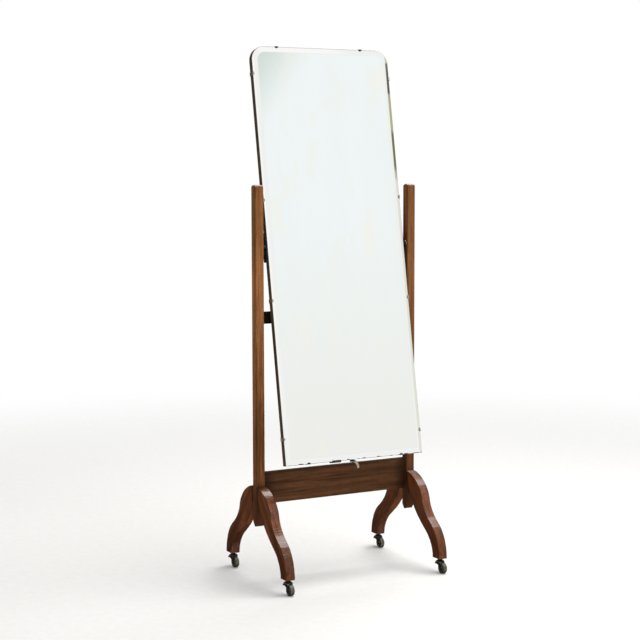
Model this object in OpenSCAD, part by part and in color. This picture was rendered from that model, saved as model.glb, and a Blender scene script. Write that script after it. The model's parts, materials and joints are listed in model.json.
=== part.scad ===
// Cheval floor mirror: a bevelled plate on a backboard, swinging on side pivots
// between two uprights that stand on four shaped legs with small swivel casters.
// Millimetres. X runs across the mirror, -Y is its front, +Z is up.
// The origin is on the floor, midway between the four legs.

/* [Mirror] */
// Width of the glass and of its backboard
glass_w = 457; // [400:1:500]
// Height of the glass and of its backboard
glass_h = 1219; // [1100:1:1260]
// Thickness of the glass
glass_t = 6; // [5:0.5:8]
// Width of the polished bevel round the glass
bevel_w = 17; // [10:1:25]
// Thickness of glass that the bevel takes off at the edge
bevel_drop = 2.5; // [1:0.5:3.5]
// Radius of the two top corners
corner_r = 42; // [30:1:70]
// Thickness of the backboard
board_t = 15; // [10:1:16]
// Distance from the pivot up to the top edge
above_pivot = 587; // [540:1:600]
// Distance from the pivot axis forward to the middle of the plate and backboard together
pivot_behind = 3.7; // [0:0.1:5]
// Angle that the mirror leans back at rest
lean = 10.1; // [4:0.1:20]

/* [Stand] */
// Height of the pivot above the floor
pivot_z = 975; // [950:1:1000]
// Height of the top of the uprights
upright_top = 1154; // [1100:1:1250]
// Height of the bottom end of the uprights
upright_foot = 160; // [140:1:175]
// Width of an upright across the mirror
upright_w = 27; // [26:1:36]
// Depth of an upright from front to back
upright_d = 24.5; // [23:0.5:32]
// Gap between the mirror's edge and an upright
side_gap = 12.7; // [11:0.1:16]
// Height of the bottom edge of the stretcher
stretcher_z = 225; // [215:1:240]
// Depth of the stretcher board on edge
stretcher_h = 93.5; // [80:0.5:95]
// Thickness of the stretcher board
stretcher_t = 15.5; // [12:0.5:18]
// Height of the bottom edge of the rear rail
rail_z = 753; // [700:1:780]
// Height of the rear rail on edge
rail_h = 35; // [25:1:45]
// Thickness of the rear rail
rail_t = 11; // [9:0.5:12]

/* [Casters] */
// Height from the floor to the bottom of a leg
caster_h = 44; // [44:1:50]
// Radius of a caster wheel
wheel_r = 16; // [14:0.5:16]
// Width of a caster wheel
wheel_w = 13; // [10:0.5:14]
// Distance from the swivel axis back to the axle
trail = 15.5; // [14:0.5:16]
// Direction that the casters trail in at rest, from +X towards +Y
caster_turn = -90; // [-180:1:180]

/* [Hidden] */
$fn = 48;

// A cut reaches this far past the face that it opens
past = 1;
left = -1;
right = 1;
front = -1;
rear = 1;

// Colours
walnut = "#6d4426";
dark_walnut = "#4a2e1b";
black_stain = "#1d1714";
plywood = "#6b4e33";
silvered = "#dfe9e6";
brass = "#8f7440";
nickel = "#a39b8c";
iron = "#3a352c";
fibre = "#2b211b";

// Places worked out from the driving sizes
pack_t = glass_t + board_t;
below_pivot = glass_h - above_pivot;
glass_front = -pack_t / 2 - pivot_behind;
glass_back = glass_front + glass_t;
board_back = glass_back + board_t;
edge_t = glass_t - bevel_drop;
upright_in = glass_w / 2 + side_gap;
upright_x = upright_in + upright_w / 2;
span = 2 * upright_in;

// Uprights
top_round = 9;
side_round = 5;
foot_chamfer = [10, 13];

// Stub tenons of the stretcher and of the rear rail
tenon_l = 8;
tenon_t = 8;
tenon_shoulder = 13;
rail_tenon_t = 6;
rail_shoulder = 5;

// Legs: a side outline of three curves down the outside and three up the inside,
// as [distance from the middle of the stand, height]
leg_top = 279;
leg_under = 252;
leg_foot_d = 36;
leg_reach = 200;
leg_outer = [
    [[upright_d / 2, leg_top], [43, leg_top], [98, 248], [105, 202]],
    [[105, 202], [113, 175], [135, 155], [153, 142]],
    [[153, 142], [175, 127], [leg_reach, 94], [leg_reach, caster_h]]
];
leg_inner = [
    [[leg_reach - leg_foot_d, caster_h], [leg_reach - leg_foot_d, 72], [146, 98], [129, 112]],
    [[129, 112], [96, 137], [81, 148], [60, 172]],
    [[60, 172], [47, 188], [30, 222], [upright_d / 2, leg_under]]
];
curve_steps = 14;

// Dowels that hold the legs to the uprights
dowel_r = 3;
dowel_in_upright = 10;
dowel_in_leg = 16;
dowel_heights = [259, 270];

// Pivots
pin_r = 4;
pin_play = 0.05;
pin_end = 15;
bush_r = 6;
bush_l = 16;
flange_r = 9;
flange_t = 1.5;
washer_t = 1.1;
washer_gap = 0.2;
pivot_plate_t = 2.5;
pivot_plate_h = 62;
boss_r = 6.5;
plate_screw_z = 23;

// Batten that stiffens the backboard between the pivots
batten_h = 86;
batten_t = 14;
batten_back = board_back + batten_t;
batten_screw_x = [-190, -70, 70, 190];
batten_screw_z = [-27, 27];

// Screws: shank radius, head radius, head height
wood_screw = [1.8, 3.6, 1.6];
small_screw = [1.3, 2.8, 1.2];
slot_w = 0.8;
slot_deep = 0.6;

// Clips that hold the glass to the backboard
clip_w = 11;
clip_t = 0.9;
clip_lip = 4.5;
clip_tab = 13;
clip_screw_in = 8;
lip_y = glass_back - edge_t - 0.8;
top_clip_x = [-145, 136];
bottom_clip_x = [-154, 156];
left_clip_z = [-555, -157, 135, 506];
right_clip_z = [-563, -164, 140, 500];

// Wide clip that carries the plate's weight under its bottom edge
support_x = -63;
support_w = 28;
support_lip = 3;
support_drop = 4;
support_screw_x = [-8, 8];

// Finger pull under the bottom edge: a foot, a short bar to one side and a hooked end
pull_x = -5;
pull_bar = 2;
pull_r = 20;
pull_w = 7;
pull_t = 3;
pull_foot_h = 22;

// Casters, each in its own frame: the swivel axis is Z, and the wheel trails to +X
caster_y = leg_reach - leg_foot_d / 2;
stem_r = 4;
stem_play = 0.05;
stem_l = 30;
stem_gap = 1;
socket_r = 6;
socket_flange_r = 8;
socket_flange_t = 1.6;
collar_r = 5.5;
collar_gap = 0.3;
crown_r = 15;
crown_rise = 10;
crown_lip = 1.2;
crown_z = caster_h - 15;
crown_tilt = 20;
cheek_t = 2;
cheek_gap = 0.6;
eye_r = 5;
axle_r = 2.5;
axle_play = 0.05;
axle_head = 1.2;
hub_r = 6;

// Points along a cubic curve through four control points, without its last point
function curve(p) = [
    for (i = [0 : curve_steps - 1]) let (t = i / curve_steps, s = 1 - t)
        s * s * s * p[0] + 3 * s * s * t * p[1] + 3 * s * t * t * p[2] + t * t * t * p[3]
];

// Lays a part out in the mirror's own frame: pivot at the origin, glass facing -Y
module in_mirror() {
    translate([0, 0, pivot_z]) rotate([-lean, 0, 0]) children();
}

// A cylinder that starts at the origin and points along +X, or along -X for side -1
module along_x(r, l, side = 1) {
    rotate([0, side * 90, 0]) cylinder(r = r, h = l);
}

// A round-headed slotted screw: the head sits on z = 0 and the shank points along -Z
module screw(size, shank) {
    difference() {
        union() {
            translate([0, 0, -shank]) cylinder(r = size[0], h = shank);
            cylinder(r1 = size[1], r2 = size[1] * 0.75, h = size[2]);
        }
        translate([-size[1] - past, -slot_w / 2, size[2] - slot_deep])
            cube([2 * (size[1] + past), slot_w, slot_deep + past]);
    }
}

// ---- Stand ----

// A board's outline from bottom to top, with its two top corners rounded
module round_topped(w, bottom, r) {
    translate([-w / 2, bottom]) square([w, upright_top - r - bottom]);
    translate([r - w / 2, upright_top - r - past]) square([w - 2 * r, r + past]);
    for (side = [-1, 1]) translate([side * (w / 2 - r), upright_top - r]) circle(r);
}

module upright_side() {
    half = upright_d / 2;
    knee = upright_foot + foot_chamfer[1];
    round_topped(upright_d, knee, top_round);
    polygon([
        [-half, knee], [-half + foot_chamfer[0], upright_foot],
        [half - foot_chamfer[0], upright_foot], [half, knee]
    ]);
}

module upright(side) {
    difference() {
        translate([side * upright_x, 0, 0]) intersection() {
            translate([-upright_w / 2, 0, 0])
                rotate([90, 0, 90]) linear_extrude(upright_w) upright_side();
            translate([0, upright_d / 2, 0])
                rotate([90, 0, 0]) linear_extrude(upright_d)
                    round_topped(upright_w, upright_foot, side_round);
        }
        translate([side * (upright_in - past), 0, pivot_z]) along_x(bush_r, bush_l + past, side);
        stretcher_tenons();
        rail_tenons();
        leg_dowel_set();
    }
}

module tenon_pair(l, size, pos) {
    for (side = [-1, 1])
        translate([side * (upright_in + l / 2), pos[0], pos[1]])
            cube([l, size[0], size[1]], center = true);
}

module stretcher_tenons() {
    tenon_pair(tenon_l, [tenon_t, stretcher_h - 2 * tenon_shoulder],
        [upright_d / 2 - stretcher_t / 2, stretcher_z + stretcher_h / 2]);
}

module rail_tenons() {
    tenon_pair(tenon_l, [rail_tenon_t, rail_h - 2 * rail_shoulder],
        [upright_d / 2 - rail_t / 2, rail_z + rail_h / 2]);
}

module bottom_stretcher() {
    color(dark_walnut) {
        translate([-upright_in, upright_d / 2 - stretcher_t, stretcher_z])
            cube([span, stretcher_t, stretcher_h]);
        stretcher_tenons();
    }
}

module rear_rail() {
    color(black_stain) {
        translate([-upright_in, upright_d / 2 - rail_t, rail_z]) cube([span, rail_t, rail_h]);
        rail_tenons();
    }
}

module leg_outline() {
    polygon(concat(
        [for (c = leg_outer) each curve(c)],
        [[leg_reach, caster_h]],
        [for (c = leg_inner) each curve(c)],
        [[upright_d / 2, leg_under]]
    ));
}

module leg(side, end) {
    difference() {
        mirror([0, end == front ? 1 : 0, 0])
            translate([side * upright_x - upright_w / 2, 0, 0])
                rotate([90, 0, 90]) linear_extrude(upright_w) leg_outline();
        leg_dowel_set();
        translate([side * upright_x, end * caster_y, caster_h - past])
            cylinder(r = socket_r, h = stem_l + past);
    }
}

module leg_dowel_set() {
    for (side = [-1, 1], end = [-1, 1], z = dowel_heights)
        translate([side * upright_x, end * (upright_d / 2 - dowel_in_upright), z])
            rotate([-end * 90, 0, 0]) cylinder(r = dowel_r, h = dowel_in_upright + dowel_in_leg);
}

module pivot_bush(side) {
    translate([side * upright_in, 0, pivot_z])
        difference() {
            union() {
                along_x(bush_r, bush_l, side);
                along_x(flange_r, flange_t, -side);
            }
            translate([-side * (flange_t + past), 0, 0])
                along_x(pin_r + pin_play, bush_l + flange_t + 2 * past, side);
        }
}

// ---- Casters ----

module caster_place(side, end) {
    translate([side * upright_x, end * caster_y, 0]) rotate([0, 0, caster_turn]) children();
}

module caster_socket(side, end) {
    color(iron) caster_place(side, end) difference() {
        union() {
            translate([0, 0, caster_h]) cylinder(r = socket_r, h = stem_l);
            translate([0, 0, caster_h - socket_flange_t])
                cylinder(r = socket_flange_r, h = socket_flange_t);
        }
        translate([0, 0, caster_h - socket_flange_t - past])
            cylinder(r = stem_r + stem_play, h = stem_l + socket_flange_t + 2 * past);
    }
}

// Height of the crown's sloping underside at a distance behind the swivel axis
function crown_under(x) = crown_z + x * tan(crown_tilt);

// A horn of the fork: hollow down its leading edge, round at the eye for the axle
module cheek_outline() {
    lead = [
        [-9, crown_under(-9) + crown_lip], [0, crown_under(0) - 3],
        [trail - eye_r - 2, 24], [trail - eye_r, wheel_r]
    ];
    translate([trail, wheel_r]) circle(eye_r);
    polygon(concat(curve(lead), [
        [trail - eye_r, wheel_r], [trail + eye_r, wheel_r], [11, crown_under(11) + crown_lip]
    ]));
}

// The domed crown over the horns, tipped down at the end that leads
module crown() {
    dome_r = (crown_r * crown_r + crown_rise * crown_rise) / (2 * crown_rise);
    translate([0, 0, crown_z]) rotate([0, -crown_tilt, 0]) {
        cylinder(r = crown_r, h = crown_lip);
        translate([0, 0, crown_lip]) intersection() {
            translate([0, 0, crown_rise - dome_r]) sphere(dome_r);
            cylinder(r = crown_r, h = crown_rise);
        }
    }
}

module caster_fork(side, end) {
    cheek_y = wheel_w / 2 + cheek_gap;
    color(iron) caster_place(side, end) difference() {
        union() {
            crown();
            translate([0, 0, crown_z + crown_lip])
                cylinder(r = collar_r, h = caster_h - socket_flange_t - collar_gap - crown_z - crown_lip);
            translate([0, 0, crown_z + crown_lip])
                cylinder(r = stem_r, h = caster_h - crown_z - crown_lip + stem_l - stem_gap);
            for (cheek = [-1, 1])
                translate([0, cheek * (cheek_y + cheek_t / 2) + cheek_t / 2, 0])
                    rotate([90, 0, 0]) linear_extrude(cheek_t) cheek_outline();
        }
        translate([trail, 0, wheel_r]) rotate([90, 0, 0])
            cylinder(r = axle_r, h = 2 * (cheek_y + cheek_t + past), center = true);
    }
}

module caster_axle(side, end) {
    half = wheel_w / 2 + cheek_gap + cheek_t;
    color(iron) caster_place(side, end) translate([trail, 0, wheel_r]) {
        rotate([90, 0, 0]) cylinder(r = axle_r, h = 2 * half, center = true);
        for (head = [-1, 1]) translate([0, head * half, 0]) rotate([-head * 90, 0, 0])
            cylinder(r1 = axle_r + 1.1, r2 = axle_r - 0.4, h = axle_head);
    }
}

module caster_wheel(side, end) {
    bore = axle_r + axle_play;
    half = wheel_w / 2;
    tyre_in = wheel_r - 3.5;
    color(iron) caster_place(side, end) translate([trail, 0, wheel_r]) rotate([90, 0, 0])
        rotate_extrude() polygon([
            [bore, -half], [hub_r, -half], [hub_r + 1.5, 1.5 - half],
            [tyre_in - 1, 1.5 - half], [tyre_in, -half], [wheel_r - 1.2, -half],
            [wheel_r - 0.4, 0.6 - half], [wheel_r, 2.4 - half],
            [wheel_r, half - 2.4], [wheel_r - 0.4, half - 0.6],
            [wheel_r - 1.2, half], [tyre_in, half], [tyre_in - 1, half - 1.5],
            [hub_r + 1.5, half - 1.5], [hub_r, half], [bore, half]
        ]);
}

// ---- Mirror ----

// Outline of the plate in its own plane, drawn in from its edge by inset
module plate_outline(inset = 0) {
    w = glass_w / 2 - inset;
    top = above_pivot - inset;
    bottom = inset - below_pivot;
    r = corner_r - inset;
    translate([-w, bottom]) square([2 * w, top - r - bottom]);
    translate([r - w, bottom]) square([2 * (w - r), top - bottom]);
    for (side = [-1, 1]) translate([side * (w - r), top - r]) circle(r);
}

// A slab of that outline whose back is at y = back
module plate_slab(back, t, inset = 0) {
    translate([0, back, 0]) rotate([90, 0, 0]) linear_extrude(t) plate_outline(inset);
}

module mirror_glass() {
    thin = 0.1;
    color(silvered) in_mirror() hull() {
        plate_slab(glass_back, edge_t);
        plate_slab(glass_front + thin, thin, bevel_w);
    }
}

module backboard() {
    color(plywood) in_mirror() difference() {
        plate_slab(board_back, board_t);
        clip_screw_set();
        batten_screw_set();
        pull_screw_place() screw(small_screw, pull_t + clip_screw_in);
    }
}

module pivot_batten() {
    color(black_stain) in_mirror() difference() {
        translate([-glass_w / 2, board_back, -batten_h / 2]) cube([glass_w, batten_t, batten_h]);
        batten_screw_set();
        pivot_plate_screw_set();
    }
}

module batten_screw_set() {
    for (x = batten_screw_x, z = batten_screw_z)
        translate([x, batten_back, z]) rotate([-90, 0, 0]) screw(wood_screw, batten_t + board_t * 0.7);
}

module pivot_plate(side) {
    plate_front = glass_back + 0.5;
    plate_d = batten_back - plate_front;
    boss_l = side_gap - pivot_plate_t - flange_t - washer_t - washer_gap;
    color(iron) in_mirror() difference() {
        union() {
            translate([side * (glass_w / 2 + pivot_plate_t / 2), plate_front + plate_d / 2, 0])
                cube([pivot_plate_t, plate_d, pivot_plate_h], center = true);
            translate([side * (glass_w / 2), 0, 0]) {
                along_x(boss_r, pivot_plate_t + boss_l, side);
                along_x(pin_r, side_gap + pin_end, side);
            }
        }
        pivot_plate_screw_set();
    }
}

module pivot_plate_screw_set() {
    for (side = [-1, 1], z = [-plate_screw_z, plate_screw_z])
        translate([side * (glass_w / 2 + pivot_plate_t), board_back + batten_t / 2, z])
            rotate([0, side * 90, 0]) screw(wood_screw, pivot_plate_t + 18);
}

module friction_washer(side) {
    color(fibre) translate([side * (upright_in - flange_t - washer_gap), 0, pivot_z]) difference() {
        along_x(flange_r - 0.5, washer_t, -side);
        translate([side * past, 0, 0]) along_x(pin_r, washer_t + 2 * past, -side);
    }
}

// One clip in a frame whose +Z points out of the mirror's edge
module clip() {
    tab_y = board_back + clip_t;
    translate([-clip_w / 2, lip_y, 0]) cube([clip_w, tab_y - lip_y, clip_t]);
    intersection() {
        translate([0, lip_y, clip_w / 2 - clip_lip]) rotate([90, 0, 0])
            cylinder(r = clip_w / 2, h = clip_t);
        translate([-clip_w / 2, lip_y - clip_t, -clip_lip]) cube([clip_w, clip_t, clip_lip + clip_t]);
    }
    difference() {
        translate([-clip_w / 2, board_back, -clip_tab]) cube([clip_w, clip_t, clip_tab + clip_t]);
        clip_screw();
    }
}

module clip_screw() {
    translate([0, board_back + clip_t, -clip_tab / 2]) rotate([-90, 0, 0])
        screw(small_screw, clip_screw_in);
}

module top_places() {
    for (x = top_clip_x) translate([x, 0, above_pivot]) children();
}

module bottom_places() {
    for (x = bottom_clip_x)
        translate([x, 0, -below_pivot]) rotate([0, 180, 0]) children();
}

module side_places(side) {
    for (z = side == left ? left_clip_z : right_clip_z)
        translate([side * glass_w / 2, 0, z]) rotate([0, side * 90, 0]) children();
}

module clip_screw_set() {
    top_places() clip_screw();
    bottom_places() clip_screw();
    side_places(left) clip_screw();
    side_places(right) clip_screw();
    translate([support_x, 0, -below_pivot]) support_screws();
}

module pull_screw_place() {
    translate([pull_x, board_back + pull_t, pull_foot_h / 2 - below_pivot]) rotate([-90, 0, 0])
        children();
}

module pull_outline() {
    bend = -pull_w / 2 - pull_r;
    translate([-pull_w / 2, -pull_w / 2]) square([pull_w, pull_foot_h + pull_w / 2]);
    translate([0, pull_foot_h]) circle(pull_w / 2);
    translate([0, -pull_w / 2]) circle(pull_w / 2);
    translate([0, -pull_w]) square([pull_bar, pull_w]);
    translate([pull_bar, bend]) difference() {
        intersection() {
            circle(pull_r + pull_w / 2);
            square(2 * pull_r);
        }
        circle(pull_r - pull_w / 2);
    }
    translate([pull_bar + pull_r, bend]) circle(pull_w / 2);
}

module finger_pull() {
    color(nickel) in_mirror() difference() {
        translate([pull_x, board_back + pull_t, -below_pivot]) rotate([90, 0, 0])
            linear_extrude(pull_t) pull_outline();
        pull_screw_place() screw(small_screw, pull_t + clip_screw_in);
    }
}

// The wide clip under the bottom edge: a tab on the backboard, a ledge and a low front lip
module support_clip() {
    half = support_w / 2;
    color(iron) in_mirror() translate([support_x, 0, -below_pivot]) difference() {
        union() {
            translate([-half, lip_y, -support_drop]) cube([support_w, board_back - lip_y, support_drop]);
            translate([-half, lip_y - clip_t, -support_drop])
                cube([support_w, clip_t, support_drop + support_lip]);
            translate([-half, board_back, -support_drop]) cube([support_w, clip_t, support_drop + clip_tab]);
        }
        support_screws();
    }
}

module support_screws() {
    for (x = support_screw_x) translate([x, board_back + clip_t, clip_tab / 2])
        rotate([-90, 0, 0]) screw(small_screw, clip_screw_in);
}

color(walnut) upright(left);  // left_upright
color(walnut) upright(right);  // right_upright
bottom_stretcher();
rear_rail();
color(walnut) leg(left, front);  // left_front_leg
color(walnut) leg(left, rear);  // left_rear_leg
color(walnut) leg(right, front);  // right_front_leg
color(walnut) leg(right, rear);  // right_rear_leg
color(plywood) leg_dowel_set();  // leg_dowels
color(brass) pivot_bush(left);  // left_pivot_bush
color(brass) pivot_bush(right);  // right_pivot_bush
caster_socket(left, front);  // left_front_caster_socket
caster_socket(left, rear);  // left_rear_caster_socket
caster_socket(right, front);  // right_front_caster_socket
caster_socket(right, rear);  // right_rear_caster_socket
caster_fork(left, front);  // left_front_caster_fork
caster_fork(left, rear);  // left_rear_caster_fork
caster_fork(right, front);  // right_front_caster_fork
caster_fork(right, rear);  // right_rear_caster_fork
caster_axle(left, front);  // left_front_caster_axle
caster_axle(left, rear);  // left_rear_caster_axle
caster_axle(right, front);  // right_front_caster_axle
caster_axle(right, rear);  // right_rear_caster_axle
caster_wheel(left, front);  // left_front_caster_wheel
caster_wheel(left, rear);  // left_rear_caster_wheel
caster_wheel(right, front);  // right_front_caster_wheel
caster_wheel(right, rear);  // right_rear_caster_wheel
mirror_glass();
backboard();
pivot_batten();
color(iron) in_mirror() batten_screw_set();  // batten_screws
pivot_plate(left);  // left_pivot_plate
pivot_plate(right);  // right_pivot_plate
color(iron) in_mirror() pivot_plate_screw_set();  // pivot_plate_screws
friction_washer(left);  // left_friction_washer
friction_washer(right);  // right_friction_washer
color(iron) in_mirror() top_places() clip();  // top_clips
color(nickel) in_mirror() side_places(left) clip();  // left_clips
color(nickel) in_mirror() side_places(right) clip();  // right_clips
color(iron) in_mirror() bottom_places() clip();  // bottom_clips
support_clip();
color(nickel) in_mirror() clip_screw_set();  // clip_screws
finger_pull();
color(nickel) in_mirror() pull_screw_place() screw(small_screw, pull_t + clip_screw_in);  // finger_pull_screw
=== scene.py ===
"""The looks of the cheval floor mirror: its materials and softened edges, and the light and camera,
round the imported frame."""
import json
import math

import bmesh
import bpy
from mathutils import Euler, Matrix, Vector
from mathutils.bvhtree import BVHTree


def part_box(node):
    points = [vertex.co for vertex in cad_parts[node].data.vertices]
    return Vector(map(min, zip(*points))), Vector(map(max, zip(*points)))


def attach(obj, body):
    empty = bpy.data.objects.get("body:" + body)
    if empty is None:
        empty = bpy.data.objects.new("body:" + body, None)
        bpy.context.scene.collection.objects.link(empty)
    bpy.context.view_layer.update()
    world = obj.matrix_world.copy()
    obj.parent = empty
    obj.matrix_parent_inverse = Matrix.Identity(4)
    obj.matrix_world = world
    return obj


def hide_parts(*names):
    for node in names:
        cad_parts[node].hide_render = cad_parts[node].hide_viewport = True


MM = 0.001
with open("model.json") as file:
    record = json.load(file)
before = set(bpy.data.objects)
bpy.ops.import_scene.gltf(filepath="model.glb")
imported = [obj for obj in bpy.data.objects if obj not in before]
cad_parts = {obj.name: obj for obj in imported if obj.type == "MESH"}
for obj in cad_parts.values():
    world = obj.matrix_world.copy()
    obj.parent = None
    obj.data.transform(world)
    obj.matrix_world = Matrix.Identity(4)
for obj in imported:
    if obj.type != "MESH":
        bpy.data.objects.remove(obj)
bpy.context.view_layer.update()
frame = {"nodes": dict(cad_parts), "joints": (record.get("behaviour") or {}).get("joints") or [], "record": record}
nodes = frame["nodes"]
slot_of = {part["node"]: part["material_slot"] for part in frame["record"]["subparts"]}
bodies = frame["record"]["behaviour"]["bodies"]
body_of = {node: body for body, members in bodies.items() for node in members}

# The mirror's own frame: its pivot, and the angle that it leans back at rest
tilt = next(joint for joint in frame["joints"] if joint["name"] == "mirror_tilt")
pivot = Vector(tilt["pos_m"])


def leaning_frame():
    """The matrix from the mirror's own frame, with the plate upright and its pivot at the origin."""
    plate = nodes["mirror_glass"].data
    face = max(plate.polygons, key=lambda polygon: -polygon.normal.y * polygon.area)
    lean = math.atan2(face.normal.z, -face.normal.y)
    return Matrix.Translation(pivot) @ Matrix.Rotation(-lean, 4, "X"), lean


to_row, lean = leaning_frame()
in_mirror = [to_row.inverted() @ vertex.co for vertex in nodes["mirror_glass"].data.vertices]
plate_low = [min(point[axis] for point in in_mirror) for axis in range(3)]
plate_high = [max(point[axis] for point in in_mirror) for axis in range(3)]

bevel_width = 17 * MM
upright_low, upright_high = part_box("left_upright")
stretcher_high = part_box("bottom_stretcher")[1]


# ---- Node trees ----

class Tree:
    """The node tree of a material or a world, with one short call for each kind of node in use."""

    def __init__(self, owner):
        owner.use_nodes = True
        self.nodes = owner.node_tree.nodes
        self.links = owner.node_tree.links

    def node(self, kind, **settings):
        made = self.nodes.new(kind)
        for key, value in settings.items():
            setattr(made, key, value)
        return made

    def feed(self, socket, value):
        """Links a node's output to the socket, or sets the socket's own value."""
        if isinstance(value, bpy.types.NodeSocket):
            self.links.new(value, socket)
        else:
            socket.default_value = value

    def place(self):
        """Coordinates in metres in the row frame at rest."""
        return self.node("ShaderNodeTexCoord").outputs["Object"]

    def mirror_place(self):
        """Coordinates in metres in the mirror's own frame: plate upright, pivot at the origin."""
        made = self.node("ShaderNodeMapping", vector_type="TEXTURE")
        self.feed(made.inputs["Vector"], self.place())
        self.feed(made.inputs["Location"], pivot)
        self.feed(made.inputs["Rotation"], (-lean, 0, 0))
        return made.outputs["Vector"]

    def mapped(self, vector, scale=(1, 1, 1), turn=(0, 0, 0), shift=(0, 0, 0)):
        made = self.node("ShaderNodeMapping")
        self.feed(made.inputs["Vector"], vector)
        self.feed(made.inputs["Scale"], scale)
        self.feed(made.inputs["Rotation"], turn)
        self.feed(made.inputs["Location"], shift)
        return made.outputs["Vector"]

    def noise(self, vector, scale, detail=3, rough=0.55, warp=0):
        made = self.node("ShaderNodeTexNoise")
        self.feed(made.inputs["Vector"], vector)
        self.feed(made.inputs["Scale"], scale)
        self.feed(made.inputs["Detail"], detail)
        self.feed(made.inputs["Roughness"], rough)
        self.feed(made.inputs["Distortion"], warp)
        return made.outputs["Fac"]

    def ramp(self, value, *stops):
        """A colour ramp: each stop is (position, colour)."""
        made = self.node("ShaderNodeValToRGB")
        self.feed(made.inputs["Fac"], value)
        elements = made.color_ramp.elements
        for index, (position, colour) in enumerate(stops):
            element = elements[index] if index < 2 else elements.new(position)
            element.position = position
            element.color = (*colour, 1)
        return made.outputs["Color"]

    def math(self, operation, a, b=0.0):
        made = self.node("ShaderNodeMath", operation=operation)
        self.feed(made.inputs[0], a)
        self.feed(made.inputs[1], b)
        return made.outputs["Value"]

    def blend(self, amount, a, b, way="MIX"):
        """Two colours mixed by amount, or by another way of mixing."""
        made = self.node("ShaderNodeMix", data_type="RGBA", blend_type=way)
        self.feed(made.inputs["Factor"], amount)
        self.feed(made.inputs["A"], a if isinstance(a, bpy.types.NodeSocket) else (*a, 1))
        self.feed(made.inputs["B"], b if isinstance(b, bpy.types.NodeSocket) else (*b, 1))
        return made.outputs["Result"]

    def spread(self, value, low, high, to_low=0.0, to_high=1.0, curve="SMOOTHSTEP"):
        """Maps low..high to to_low..to_high, held at the ends."""
        made = self.node("ShaderNodeMapRange", interpolation_type=curve)
        for socket, number in zip(made.inputs[:5], (value, low, high, to_low, to_high)):
            self.feed(socket, number)
        return made.outputs["Result"]

    def split(self, vector):
        made = self.node("ShaderNodeSeparateXYZ")
        self.feed(made.inputs["Vector"], vector)
        return made.outputs

    def join(self, x, y, z):
        made = self.node("ShaderNodeCombineXYZ")
        for socket, value in zip(made.inputs, (x, y, z)):
            self.feed(socket, value)
        return made.outputs["Vector"]

    def bump(self, height, strength, distance):
        made = self.node("ShaderNodeBump")
        self.feed(made.inputs["Height"], height)
        self.feed(made.inputs["Strength"], strength)
        self.feed(made.inputs["Distance"], distance)
        return made.outputs["Normal"]


class Surface(Tree):
    """A new material and its node tree."""

    def __init__(self, name):
        self.material = bpy.data.materials.new(name)
        super().__init__(self.material)
        self.shader = self.nodes["Principled BSDF"]

    def set(self, **inputs):
        """Sets the shader's sockets: base_color=..., roughness=..., and so on."""
        for key, value in inputs.items():
            socket = key.replace("_", " ").title().replace("Ior", "IOR")
            self.feed(self.shader.inputs[socket], value)


# ---- Materials ----

# How much the grain's noise is drawn out along the grain, for streaks and for fibres
STREAK, FIBRE = 0.05, 0.03


def drawn_out(along, amount):
    """The scale that draws a noise out along an axis."""
    return tuple(amount if axis == along else 1 for axis in "XYZ")


def wood(name, light, dark, pore, along, slope=0.0, gloss=0.4, coat=0.0, specular=0.05, wear_and_shade=None):
    """Stained timber with its grain along an axis. slope leans the grain of a leg, in radians. The last argument
    adds one kind of piece's wear and its painted light and shade to its colour, and its polish."""
    t = Surface(name)
    place = t.place()
    if slope:
        x, y, z = t.split(place)
        place = t.mapped(t.join(x, t.math("ABSOLUTE", y), z), turn=(slope, 0, 0))
    stretch = drawn_out(along, STREAK)
    fine = drawn_out(along, FIBRE)
    streaks = t.noise(t.mapped(place, stretch), 150, 5, 0.6, 0.6)
    bands = t.noise(t.mapped(place, stretch, shift=(0.31, 0.17, 0.4)), 45, 3, 0.5, 1.2)
    fibres = t.noise(t.mapped(place, fine), 1500, 2, 0.5)
    clouds = t.noise(place, 9, 3, 0.5)
    tone = t.math("ADD", t.math("MULTIPLY", streaks, 0.55), t.math("MULTIPLY", bands, 0.45))
    colour = t.ramp(tone, (0.40, dark), (0.60, light))
    colour = t.blend(t.spread(clouds, 0.3, 0.7, 0.0, 0.35), colour, dark)
    colour = t.blend(t.spread(fibres, 0.56, 0.72, 0.0, 0.75), colour, pore)
    if wear_and_shade:
        colour, coat = wear_and_shade(t, colour, coat, pore)
    worn = t.noise(place, 60, 4, 0.6)
    relief = t.math("ADD", t.math("MULTIPLY", fibres, 0.5), t.math("MULTIPLY", streaks, 0.5))
    t.set(base_color=colour, roughness=t.spread(worn, 0.3, 0.75, gloss, gloss + 0.22),
          specular_ior_level=specular, coat_weight=coat, coat_roughness=0.12,
          normal=t.bump(relief, 0.25, 0.25 * MM))
    return t.material


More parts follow.
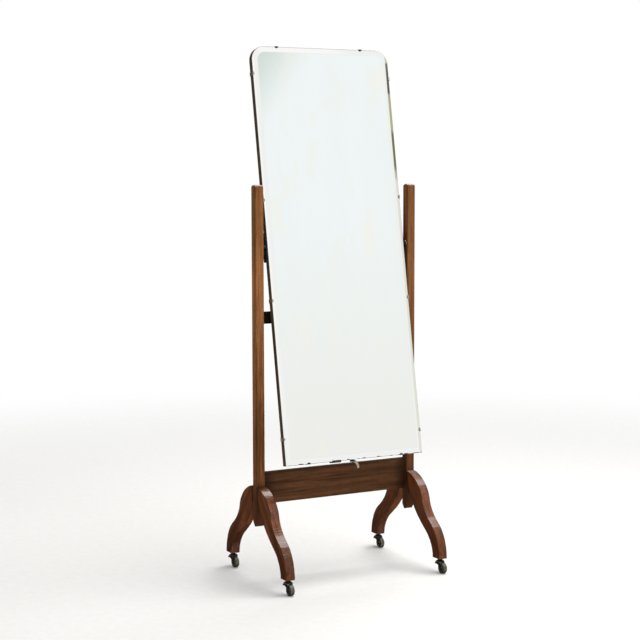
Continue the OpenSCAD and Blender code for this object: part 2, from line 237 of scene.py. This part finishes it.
def upright_painted_light_and_shade(t, colour, coat, shade_and_grime):
    """Painted shade makes it darker towards the floor and between the legs, with a dark front left arris, and it
    has a polished top.
    Painted light makes the left upright lighter round its middle, and painted shade makes the right one, beside
    the mirror, a little darker."""
    x, _, z = t.split(t.place())
    # Painted light: the left upright is lighter round its middle.
    from_middle = t.math("ABSOLUTE", t.math("SUBTRACT", z, 720 * MM))
    lit_middle = t.spread(from_middle, 100 * MM, 330 * MM, 1.0, 0.0)
    lit_middle = t.math("MULTIPLY", lit_middle, t.math("LESS_THAN", x, 0.0))
    colour = t.blend(lit_middle, colour, (1.42, 1.42, 1.42), "MULTIPLY")
    # Painted shade: the right upright, beside the mirror, is a little darker.
    colour = t.blend(t.math("GREATER_THAN", x, 0.0), colour, (0.82, 0.82, 0.83), "MULTIPLY")
    # Painted shade: darker towards the floor, where less light falls.
    low = t.spread(z, 250 * MM, 680 * MM, 1.0, 0.0)
    colour = t.blend(low, colour, (0.74, 0.71, 0.67), "MULTIPLY")
    # Painted shade low down on the upright, between the legs.
    colour = t.blend(t.spread(z, 240 * MM, 310 * MM, 0.75, 0.0), colour, shade_and_grime)
    # Painted shade along each upright's front left arris.
    colour = t.blend(shaded_arris(t), colour, shade_and_grime)
    below_top = t.math("SUBTRACT", upright_high.z, z)
    return colour, t.spread(below_top, 1 * MM, 5 * MM, 1.0, coat)


def stretcher_painted_shade(t, colour, coat, shade_and_grime):
    """Painted shade: darker beside the uprights and along the top edge."""
    x, _, z = t.split(t.place())
    end = t.spread(t.math("ABSOLUTE", x), 195 * MM, 236 * MM, 0.0, 0.7)
    edge = t.spread(z, stretcher_high.z - 9 * MM, stretcher_high.z - 2 * MM, 0.0, 0.5)
    return t.blend(t.math("MAXIMUM", end, edge), colour, shade_and_grime), coat


def leg_wear_and_shade(t, colour, coat, shade_and_grime):
    """Grime and painted shade in the seam beside the upright, a darker foot, and scuffs with a painted sheen on
    the front edges.
    """
    _, y, z = t.split(t.place())
    depth = t.math("ABSOLUTE", y)
    # Wear scuffs and a painted highlight on the front edges.
    colour = t.blend(leg_scuffs_and_sheen(t), colour, (0.32, 0.26, 0.21))
    # Grime and painted shade in the seam beside the upright.
    colour = t.blend(t.spread(depth, upright_high.y, 28 * MM, 0.9, 0.0), colour, shade_and_grime)
    foot = t.spread(z, 60 * MM, 160 * MM, 0.85, 0.0)
    colour = t.blend(foot, colour, (0.55, 0.52, 0.50), "MULTIPLY")
    return colour, t.spread(z, 70 * MM, 150 * MM, coat * 0.4, coat)


def leg_scuffs_and_sheen(t):
    """How scuffed a leg is, with a painted sheen: fine pale lines across its front edge, in patches, and none at
    its foot.
    """
    place = t.place()
    _, y, z = t.split(place)
    sideways = t.math("ABSOLUTE", t.split(t.node("ShaderNodeTexCoord").outputs["Normal"])[0])
    lines = t.noise(t.mapped(place, (0.12, 1, 1)), 260, 5, 0.65, 0.4)
    patches = t.noise(place, 16, 3, 0.5)
    scuffs = t.spread(lines, 0.5, 0.68, 0.0, 0.55)
    for mask in (t.spread(patches, 0.4, 0.6), t.spread(sideways, 0.2, 0.5, 1.0, 0.0),
                 t.spread(y, -50 * MM, -30 * MM, 1.0, 0.0), t.spread(z, 80 * MM, 130 * MM)):
        scuffs = t.math("MULTIPLY", scuffs, mask)
    return scuffs


def shaded_arris(t):
    """How dark the painted shade along the front left arris of each upright is."""
    x, y, _ = t.split(t.place())
    centre = t.math("MULTIPLY", t.math("SIGN", x), (upright_low.x + upright_high.x) / -2)
    to_side = t.math("ADD", t.math("SUBTRACT", x, centre), (upright_high.x - upright_low.x) / 2)
    to_front = t.math("SUBTRACT", y, upright_low.y)
    return t.spread(t.math("ADD", to_side, to_front), 1 * MM, 5 * MM, 0.55, 0.0)


def metal(name, light, dark, roughness, metallic=1.0, rust=0.0):
    """Dulled metal: tarnish in clouds, fine pits, and scratches in the gloss."""
    t = Surface(name)
    place = t.place()
    clouds = t.noise(place, 220, 5, 0.6, 0.4)
    pits = t.noise(place, 2600, 3, 0.6)
    colour = t.ramp(clouds, (0.36, dark), (0.64, light))
    if rust:
        patches = t.spread(t.noise(place, 420, 5, 0.65), 0.56, 0.68, 0.0, rust)
        colour = t.blend(patches, colour, (0.10, 0.045, 0.02))
    scratches = t.noise(t.mapped(place, (1, 1, 0.12)), 1800, 2, 0.5)
    rough = t.spread(t.math("ADD", t.math("MULTIPLY", clouds, 0.6), t.math("MULTIPLY", scratches, 0.4)),
                     0.35, 0.65, roughness, roughness + 0.25)
    t.set(base_color=colour, metallic=metallic, roughness=rough, normal=t.bump(pits, 0.2, 0.08 * MM))
    return t.material


def plywood():
    """The backboard: brown stained face veneer with its grain up the board."""
    return wood("backboard_ply", (0.115, 0.064, 0.034), (0.06, 0.032, 0.017), (0.025, 0.013, 0.008),
                "Z", gloss=0.55, specular=0.1)


def fibre():
    t = Surface("fibre")
    specks = t.noise(t.place(), 1400, 4, 0.7)
    t.set(base_color=t.ramp(specks, (0.3, (0.012, 0.009, 0.007)), (0.7, (0.045, 0.033, 0.025))),
          roughness=0.85, normal=t.bump(specks, 0.5, 0.15 * MM))
    return t.material


def silver(name, tint, worn, age_and_reflections=None):
    """Old silvering behind glass: nearly clear, with faint clouds. The last argument adds its aged places and
    painted reflections.
    """
    t = Surface(name)
    clouds = t.noise(t.mapped(t.mirror_place(), (1, 1, 0.25)), 7, 4, 0.6, 0.5)
    colour = t.ramp(clouds, (0.3, tint), (0.7, worn))
    if age_and_reflections:
        colour = age_and_reflections(t, colour)
    t.set(base_color=colour, metallic=1.0, roughness=0.02)
    return t.material


def face_reflection_and_age(t, colour):
    """A painted reflection greys the face towards its top left corner, and the face yellows towards its foot."""
    x, _, z = t.split(t.mirror_place())
    across = t.math("MULTIPLY", t.math("SUBTRACT", x, plate_low[0]), 1.3)
    down = t.math("SUBTRACT", plate_high[2], z)
    # Painted reflection of the room in the top left corner.
    corner = t.spread(t.math("ADD", across, down), 30 * MM, 300 * MM, 0.75, 0.0)
    colour = t.blend(corner, colour, (0.60, 0.68, 0.63))
    low = t.spread(z, plate_low[2], 150 * MM, 1.0, 0.0)
    colour = t.blend(low, colour, (0.875, 0.88, 0.845))
    blooms = t.noise(t.mapped(t.mirror_place(), (1, 1, 0.4)), 14, 4, 0.6)
    return t.blend(t.spread(blooms, 0.52, 0.72, 0.0, 0.5), colour, (0.93, 0.90, 0.80))


def bevel_reflections_and_age(t, colour):
    """The bevel is painted to match the face's reflection down its sides and at its foot, and has a dark rim along
    its top.
    Down its right edge it has painted reflections of the room in bands, and along its foot the silver has come
    away in patches, with a painted shadow beside the right upright."""
    x, _, z = t.split(t.mirror_place())
    # Painted reflection: the bevel given the face's look.
    colour = t.blend(t.math("MULTIPLY", like_face(t, x, z), 0.8), colour, (0.885, 0.895, 0.865))
    # Painted reflections of the room in bands down the right edge.
    strip = t.spread(t.math("SUBTRACT", plate_high[0], x), 8 * MM, 11 * MM, 1.0, 0.0)
    colour = t.blend(strip, colour, right_edge_reflections(t, z))
    rim = t.spread(t.math("SUBTRACT", plate_high[2], z), 1 * MM, 3 * MM, 0.7, 0.0)
    colour = t.blend(rim, colour, (0.3, 0.31, 0.29))
    return t.blend(bare_silver_and_shadow(t, x, z), colour, (0.02, 0.018, 0.014))


def like_face(t, x, z):
    """Where the bevel is painted to look like the face's reflection: inside its left edge, on the right, and low
    down.
    """
    inward = t.math("SUBTRACT", x, plate_low[0])
    left = t.math("MULTIPLY", t.spread(inward, 5 * MM, 8 * MM),
                  t.spread(inward, bevel_width, 30 * MM, 1.0, 0.0))
    right = t.spread(x, 30 * MM, 120 * MM)
    low = t.spread(z, plate_low[2] + 7 * MM, plate_low[2] + 300 * MM, 1.0, 0.0)
    return t.math("MAXIMUM", t.math("MAXIMUM", left, right), low)


def right_edge_reflections(t, z):
    """Painted reflections of the room: the colours up the right edge, as fractions of the plate's height, with
    ragged ends.
    """
    ragged = t.math("MULTIPLY", t.math("SUBTRACT", t.noise(t.mirror_place(), 60, 3, 0.6), 0.5), 30 * MM)
    height = t.spread(t.math("ADD", z, ragged), plate_low[2], plate_high[2], curve="LINEAR")
    return t.ramp(height,
                  (0.0, (0.78, 0.78, 0.69)), (0.67, (0.76, 0.76, 0.70)), (0.71, (0.20, 0.185, 0.11)),
                  (0.79, (0.17, 0.16, 0.10)), (0.805, (0.45, 0.43, 0.26)), (0.885, (0.44, 0.43, 0.27)),
                  (0.895, (0.10, 0.11, 0.09)), (0.965, (0.16, 0.17, 0.145)), (0.975, (0.6, 0.6, 0.5)))


# Places along the plate's foot where the silver has gone, the last one a painted shadow beside the right upright:
# middle and half width
bare_and_shaded_places = [(-180 * MM, 9 * MM), (-24 * MM, 5 * MM), (29 * MM, 6 * MM), (76 * MM, 5 * MM),
               (172 * MM, 8 * MM)]


def bare_silver_and_shadow(t, x, z):
    """Where the silver has gone: here and there along the foot, and at each of the bare places; the last place is
    a painted shadow beside the right upright.
    """
    rise = t.math("SUBTRACT", z, plate_low[2])
    decay = t.noise(t.mapped(t.mirror_place(), (1, 1, 1.6)), 70, 4, 0.65)
    bare = t.spread(rise, 1 * MM, 5 * MM, 0.46, 0.0)
    at_foot = t.spread(rise, 2 * MM, 4 * MM, 1.0, 0.0)
    for middle, half in bare_and_shaded_places:
        away = t.math("ABSOLUTE", t.math("SUBTRACT", x, middle))
        near = t.spread(away, half * 0.6, half, 0.5, 0.0)
        bare = t.math("ADD", bare, t.math("MULTIPLY", near, at_foot))
    return t.spread(t.math("SUBTRACT", bare, decay), 0.0, 0.03)


def pull_shaded_under_plate():
    """The finger pull: dull nickel, with painted shade, black, where it comes out from under the plate."""
    t = Surface("pull_shaded_under_plate")
    clouds = t.noise(t.place(), 260, 4, 0.6)
    z = t.split(t.mirror_place())[2]
    colour = t.ramp(clouds, (0.35, (0.30, 0.25, 0.21)), (0.65, (0.52, 0.45, 0.39)))
    # Painted shade: black under the plate's edge.
    black = t.spread(t.math("SUBTRACT", plate_low[2], z), 5 * MM, 8 * MM, 1.0, 0.0)
    t.set(base_color=t.blend(black, colour, (0.015, 0.012, 0.01)), roughness=0.5, metallic=0.35,
          normal=t.bump(clouds, 0.3, 0.1 * MM))
    return t.material


def backing_paint():
    """The grey-brown paint over the silver on the plate's back."""
    t = Surface("backing_paint")
    brushed = t.noise(t.mapped(t.place(), (1, 1, 0.1)), 160, 4, 0.6)
    t.set(base_color=t.ramp(brushed, (0.35, (0.09, 0.06, 0.045)), (0.65, (0.16, 0.11, 0.085))),
          roughness=0.7, normal=t.bump(brushed, 0.3, 0.1 * MM))
    return t.material


def glass_edge():
    """The ground edge of the plate, dark bottle green."""
    t = Surface("glass_edge")
    ground = t.noise(t.place(), 900, 4, 0.6)
    t.set(base_color=t.ramp(ground, (0.35, (0.03, 0.042, 0.036)), (0.65, (0.10, 0.13, 0.11))),
          roughness=0.3, normal=t.bump(ground, 0.3, 0.1 * MM))
    return t.material


materials = {
    "walnut": wood("walnut", (0.35, 0.15, 0.053), (0.15, 0.057, 0.019), (0.045, 0.016, 0.006),
                   "Z", coat=0.03, wear_and_shade=upright_painted_light_and_shade),
    "walnut_leg": wood("walnut_leg", (0.235, 0.067, 0.015), (0.06, 0.016, 0.004), (0.014, 0.004, 0.002),
                       "Z", slope=math.radians(-38), gloss=0.32, coat=0.65, specular=0.12, wear_and_shade=leg_wear_and_shade),
    "dark_walnut": wood("dark_walnut", (0.14, 0.059, 0.023), (0.05, 0.02, 0.008), (0.014, 0.006, 0.003),
                        "X", wear_and_shade=stretcher_painted_shade),
    "black_stained_wood": wood("black_stained_wood", (0.02, 0.016, 0.013), (0.008, 0.006, 0.005),
                               (0.003, 0.003, 0.003), "X", gloss=0.5, specular=0.12),
    "beech_dowel": wood("beech_dowel", (0.62, 0.44, 0.27), (0.5, 0.33, 0.19), (0.35, 0.2, 0.1),
                        "Y", gloss=0.6, specular=0.12),
    "backboard_ply": plywood(),
    "silvered_glass": silver("silvered_glass", (0.92, 0.94, 0.925), (0.88, 0.905, 0.885)),
    "aged_brass": metal("aged_brass", (0.45, 0.33, 0.14), (0.2, 0.14, 0.07), 0.32),
    "fibre": fibre(),
    "caster_iron": metal("caster_iron", (0.085, 0.077, 0.062), (0.028, 0.025, 0.02), 0.38, 0.9, rust=0.5),
    "caster_wheel_metal": metal("caster_wheel_metal", (0.2, 0.19, 0.15), (0.055, 0.05, 0.04), 0.4, 0.9,
                                rust=0.3),
    "dull_nickel": metal("dull_nickel", (0.5, 0.45, 0.38), (0.28, 0.24, 0.19), 0.34),
    "pull_shaded_under_plate": pull_shaded_under_plate(),
    "dark_steel": metal("dark_steel", (0.1, 0.09, 0.075), (0.03, 0.027, 0.022), 0.4, rust=0.4),
}


# ---- Pieces ----

def new_piece(name, data, node, *finishes):
    """An object made from a mesh, which stands for a CAD node and rides on that node's body."""
    piece = bpy.data.objects.new(name, data)
    bpy.context.scene.collection.objects.link(piece)
    for finish in finishes:
        data.materials.append(finish)
    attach(piece, body_of[node])
    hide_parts(node)
    return piece


def smooth(piece, crease):
    """Smooth shading that stops at edges sharper than crease degrees and leaves flat faces flat."""
    for face in piece.data.polygons:
        face.use_smooth = True
    piece.data.set_sharp_from_angle(angle=math.radians(crease))
    normals = piece.modifiers.new("normals", "WEIGHTED_NORMAL")
    normals.keep_sharp = True


def open_faces(mesh, reach):
    """The faces that look away from the rest of the mesh: not the walls of a hole or a mortise."""
    tree = BVHTree.FromBMesh(mesh)
    lift = 0.01 * MM
    return {face for face in mesh.faces
            if tree.ray_cast(face.calc_center_median() + face.normal * lift, face.normal, reach)[0] is None}


def refined(node, width, finish, crease=38, reach=70 * MM):
    """The CAD node's own shape again, with smooth curves and its outer arrises rounded to a width."""
    mesh = bmesh.new()
    mesh.from_mesh(nodes[node].data)
    bmesh.ops.remove_doubles(mesh, verts=mesh.verts, dist=0.002 * MM)
    bmesh.ops.dissolve_limit(mesh, angle_limit=math.radians(0.5), verts=mesh.verts, edges=mesh.edges)
    mesh.normal_update()
    outer = open_faces(mesh, reach)
    arrises = [edge for edge in mesh.edges
               if len(edge.link_faces) == 2 and outer.issuperset(edge.link_faces)
               and edge.calc_face_angle_signed() > math.radians(crease)]
    bmesh.ops.bevel(mesh, geom=arrises, offset=width, segments=3, profile=0.5, affect="EDGES",
                    clamp_overlap=True)
    data = bpy.data.meshes.new(f"{node}_refined")
    mesh.to_mesh(data)
    mesh.free()
    smooth(new_piece(f"{node}_refined", data, node, finish), crease)


def plate_piece():
    """The plate: a flat silvered face, a polished bevel, a ground edge and a painted back."""
    bevel, corner, arc_steps = bevel_width, 42 * MM, 24
    half, back, top = plate_high
    front, bottom = plate_low[1:]
    drop = min(point.y for point in in_mirror if point.x > half - 0.1 * MM) - front
    quarter = [math.radians(90) * step / arc_steps for step in range(arc_steps + 1)]

    def ring(mesh, depth, inset):
        w, r = half - inset, corner - inset
        points = [(-w, bottom + inset), (w, bottom + inset)]
        points += [(w - r + r * math.cos(a), top - inset - r + r * math.sin(a)) for a in quarter]
        points += [(r - w - r * math.sin(a), top - inset - r + r * math.cos(a)) for a in quarter]
        return [mesh.verts.new(to_row @ Vector((x, depth, z))) for x, z in points]

    mesh = bmesh.new()
    arris = 0.9 * MM
    line = 0.7 * MM
    foot = front + drop
    steps = [(back, arris), (back - arris, 0), (foot + arris, 0), (foot + arris * 0.15, arris),
             (front + drop * line / bevel, bevel - line), (front, bevel + line)]
    FACE, BEVEL, EDGE, BACK, LINE = range(5)
    finish_of_step = [EDGE, EDGE, EDGE, BEVEL, LINE]
    rings = [ring(mesh, depth, inset) for depth, inset in steps]
    for lower, upper, finish in zip(rings, rings[1:], finish_of_step):
        for i, vertex in enumerate(lower):
            after = (i + 1) % len(lower)
            mesh.faces.new((vertex, lower[after], upper[after], upper[i])).material_index = finish
    mesh.faces.new(rings[-1]).material_index = FACE
    mesh.faces.new(reversed(rings[0])).material_index = BACK
    bmesh.ops.recalc_face_normals(mesh, faces=mesh.faces)
    data = bpy.data.meshes.new("mirror_plate")
    mesh.to_mesh(data)
    mesh.free()
    piece = new_piece("mirror_plate", data, "mirror_glass",
                      silver("silvered_face", (0.895, 0.955, 0.95), (0.875, 0.93, 0.92), face_reflection_and_age),
                      silver("silvered_bevel", (0.97, 0.975, 0.965), (0.95, 0.965, 0.95), bevel_reflections_and_age),
                      glass_edge(), backing_paint(),
                      # The bevel line's darker silver is a painted reflection of a rounded arris.
                      silver("bevel_line", (0.86, 0.88, 0.86), (0.83, 0.86, 0.84)))
    smooth(piece, 6)


arris_of = {
    "left_upright": 1.1, "right_upright": 1.1, "bottom_stretcher": 0.8, "rear_rail": 0.8, "backboard": 1.2,
    "pivot_batten": 1.0, "left_pivot_plate": 0.4, "right_pivot_plate": 0.4, "support_clip": 0.25,
    "finger_pull": 0.6,
}
for side in ("left", "right"):
    for end in ("front", "rear"):
        arris_of[f"{side}_{end}_leg"] = 1.3
        for part, width in (("fork", 0.3), ("axle", 0.2), ("wheel", 0.3), ("socket", 0.3)):
            arris_of[f"{side}_{end}_caster_{part}"] = width
for group in ("top_clips", "left_clips", "right_clips", "bottom_clips"):
    arris_of[group] = 0.2


def material_for(node):
    if node.endswith("_leg"):
        return materials["walnut_leg"]
    return materials["pull_shaded_under_plate"] if node == "finger_pull" else materials[slot_of[node]]


for name, piece in nodes.items():
    piece.data.materials.clear()
    piece.data.materials.append(material_for(name))
for name, width in arris_of.items():
    refined(name, width * MM, material_for(name))
plate_piece()

# The bevel shows the room beside the upright, so the upright stays out of reflections
bpy.data.objects["right_upright_refined"].visible_glossy = False


# ---- Floor, light and camera ----

def floor():
    """A pale floor that fades into the white studio round it."""
    mesh = bmesh.new()
    bmesh.ops.create_circle(mesh, cap_ends=True, segments=96, radius=6)
    data = bpy.data.meshes.new("floor")
    mesh.to_mesh(data)
    mesh.free()
    ground = bpy.data.objects.new("floor", data)
    bpy.context.scene.collection.objects.link(ground)
    t = Surface("floor")
    place = t.place()
    far = t.node("ShaderNodeVectorMath", operation="LENGTH")
    t.feed(far.inputs[0], place)
    grain = t.noise(place, 40, 4, 0.6)
    t.set(base_color=t.ramp(grain, (0.3, (0.86, 0.85, 0.83)), (0.7, (0.90, 0.89, 0.87))), roughness=0.6,
          specular_ior_level=0.2, alpha=t.spread(far.outputs["Value"], 1.0, 4.0, 1.0, 0.0))
    data.materials.append(t.material)
    ground.visible_glossy = False


def glow(t, colour, strength):
    """A world light of a colour, which is a socket or three numbers."""
    made = t.node("ShaderNodeBackground")
    t.feed(made.inputs["Color"], (*colour, 1) if isinstance(colour, tuple) else colour)
    t.feed(made.inputs["Strength"], strength)
    return made.outputs[0]


def by_ray(t, kind, others, these):
    """One light for rays of a kind and another for the others."""
    made = t.node("ShaderNodeMixShader")
    t.feed(made.inputs["Fac"], t.node("ShaderNodeLightPath").outputs[kind])
    t.feed(made.inputs[1], others)
    t.feed(made.inputs[2], these)
    return made.outputs[0]


def towards(t, direction, low, dim, high, bright):
    """A world colour that goes from dim to bright as a ray turns towards a direction. low and high are the
    cosines where it starts and ends."""
    turn = t.node("ShaderNodeVectorMath", operation="DOT_PRODUCT")
    t.feed(turn.inputs[0], t.node("ShaderNodeTexCoord").outputs["Generated"])
    t.feed(turn.inputs[1], Vector(direction).normalized())
    return t.ramp(turn.outputs["Value"], (low, dim), (high, bright))


def studio():
    """World: plain white to the camera, soft light for the surfaces, and for reflections a room that is
    bright in front and above and dim behind."""
    world = bpy.data.worlds.new("studio")
    bpy.context.scene.world = world
    t = Tree(world)
    behind = (0.045, 0.043, 0.04)
    front = towards(t, (0.2, -0.9, 0.38), 0.0, behind, 0.35, (1.0, 1.0, 1.0))
    ceiling = towards(t, (0, 0, 1), 0.02, behind, 0.5, (0.9, 0.9, 0.9))
    room = t.blend(1.0, front, ceiling, "LIGHTEN")
    window = towards(t, (0.35, -0.85, 0.3), 0.0, (0.42, 0.42, 0.42), 0.7, (0.95, 0.95, 0.95))
    reflected = by_ray(t, "Is Glossy Ray", glow(t, window, 1.0), glow(t, room, 0.97))
    seen = by_ray(t, "Is Camera Ray", reflected, glow(t, (1.0, 1.0, 1.0), 1.0))
    t.feed(t.nodes["World Output"].inputs["Surface"], seen)


def softbox(name, place, target, size, power, mirrored=True):
    data = bpy.data.lights.new(name, "AREA")
    data.shape = "RECTANGLE"
    data.size, data.size_y = size
    data.energy = power
    lamp = bpy.data.objects.new(name, data)
    bpy.context.scene.collection.objects.link(lamp)
    lamp.visible_glossy = mirrored
    lamp.location = place
    lamp.rotation_euler = (Vector(target) - Vector(place)).to_track_quat("-Z", "Y").to_euler()


def camera():
    """The view: a long lens a little above the middle of the mirror, from its front left."""
    data = bpy.data.cameras.new("camera")
    data.sensor_width = 36
    data.lens = 87.36
    view = bpy.data.objects.new("camera", data)
    bpy.context.scene.collection.objects.link(view)
    down, right, lean_right = math.radians(5.581), math.radians(28.301), math.radians(-0.119)
    turn = Euler((math.radians(90) - down, 0, -right)).to_matrix() @ Matrix.Rotation(lean_right, 3, "Z")
    view.matrix_world = Matrix.Translation((-2.2124, -4.0132, 1.2011)) @ turn.to_4x4()
    bpy.context.scene.camera = view


floor()
studio()
middle = (0, 0, 0.8)
softbox("overhead", (1.0, 0.2, 3.2), middle, (2.2, 1.8), 75)
softbox("front", (0.9, -3.4, 2.0), middle, (1.8, 1.8), 20, mirrored=False)
camera()
bpy.context.scene.view_settings.view_transform = "Standard"
